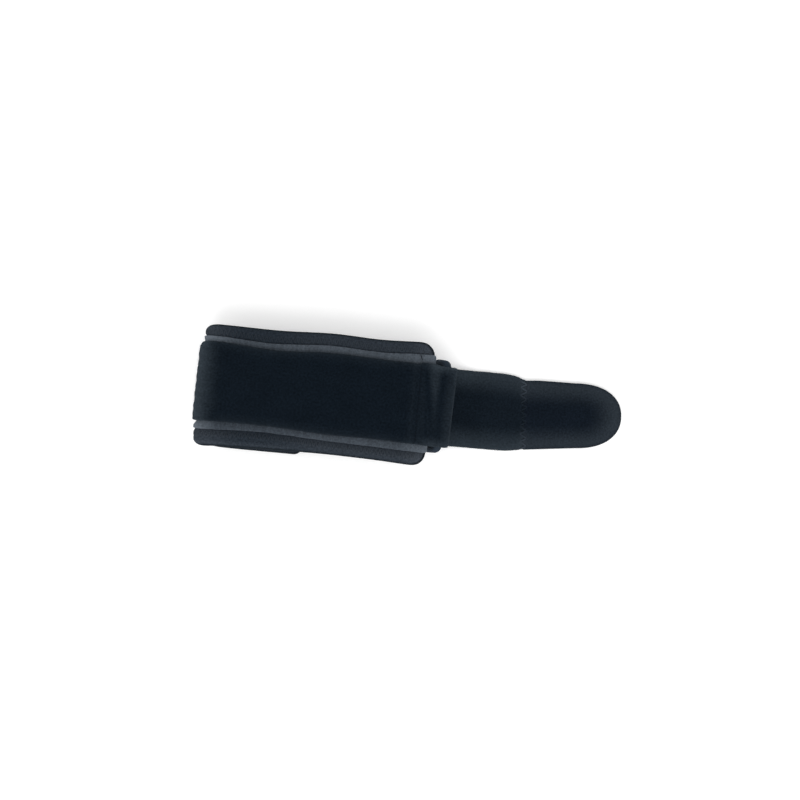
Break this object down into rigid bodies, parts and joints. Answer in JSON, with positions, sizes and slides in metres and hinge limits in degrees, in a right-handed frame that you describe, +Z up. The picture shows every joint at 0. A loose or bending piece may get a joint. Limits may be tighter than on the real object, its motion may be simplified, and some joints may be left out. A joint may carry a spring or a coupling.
{
  "type": "tennis elbow strap",
  "caption": "Padded forearm strap closed into a flattened loop, its loop-pile strap folded round a plastic ring and its tail drawn through the ring to a rounded hook tab.",
  "frame": {"origin": "on the surface it lies on, under the middle of the part's bounding box", "axes": "+X along the strap towards the tip of the tail, +Y across it, +Z up"},
  "size_m": [0.2353, 0.0667, 0.0232],
  "materials": {
    "neoprene": "black jersey-faced neoprene foam",
    "grey_cloth": "dark grey knitted cloth",
    "loop_pile": "black brushed loop pile",
    "tab_cloth": "black brushed cloth with hooks on its under face",
    "ring_plastic": "black moulded plastic, satin"
  },
  "bodies": {
    "root": {"base_band": "neoprene", "grey_band": "grey_cloth", "strap": "loop_pile", "hook_tab": "tab_cloth", "ring": "ring_plastic"}
  },
  "joints": []
}
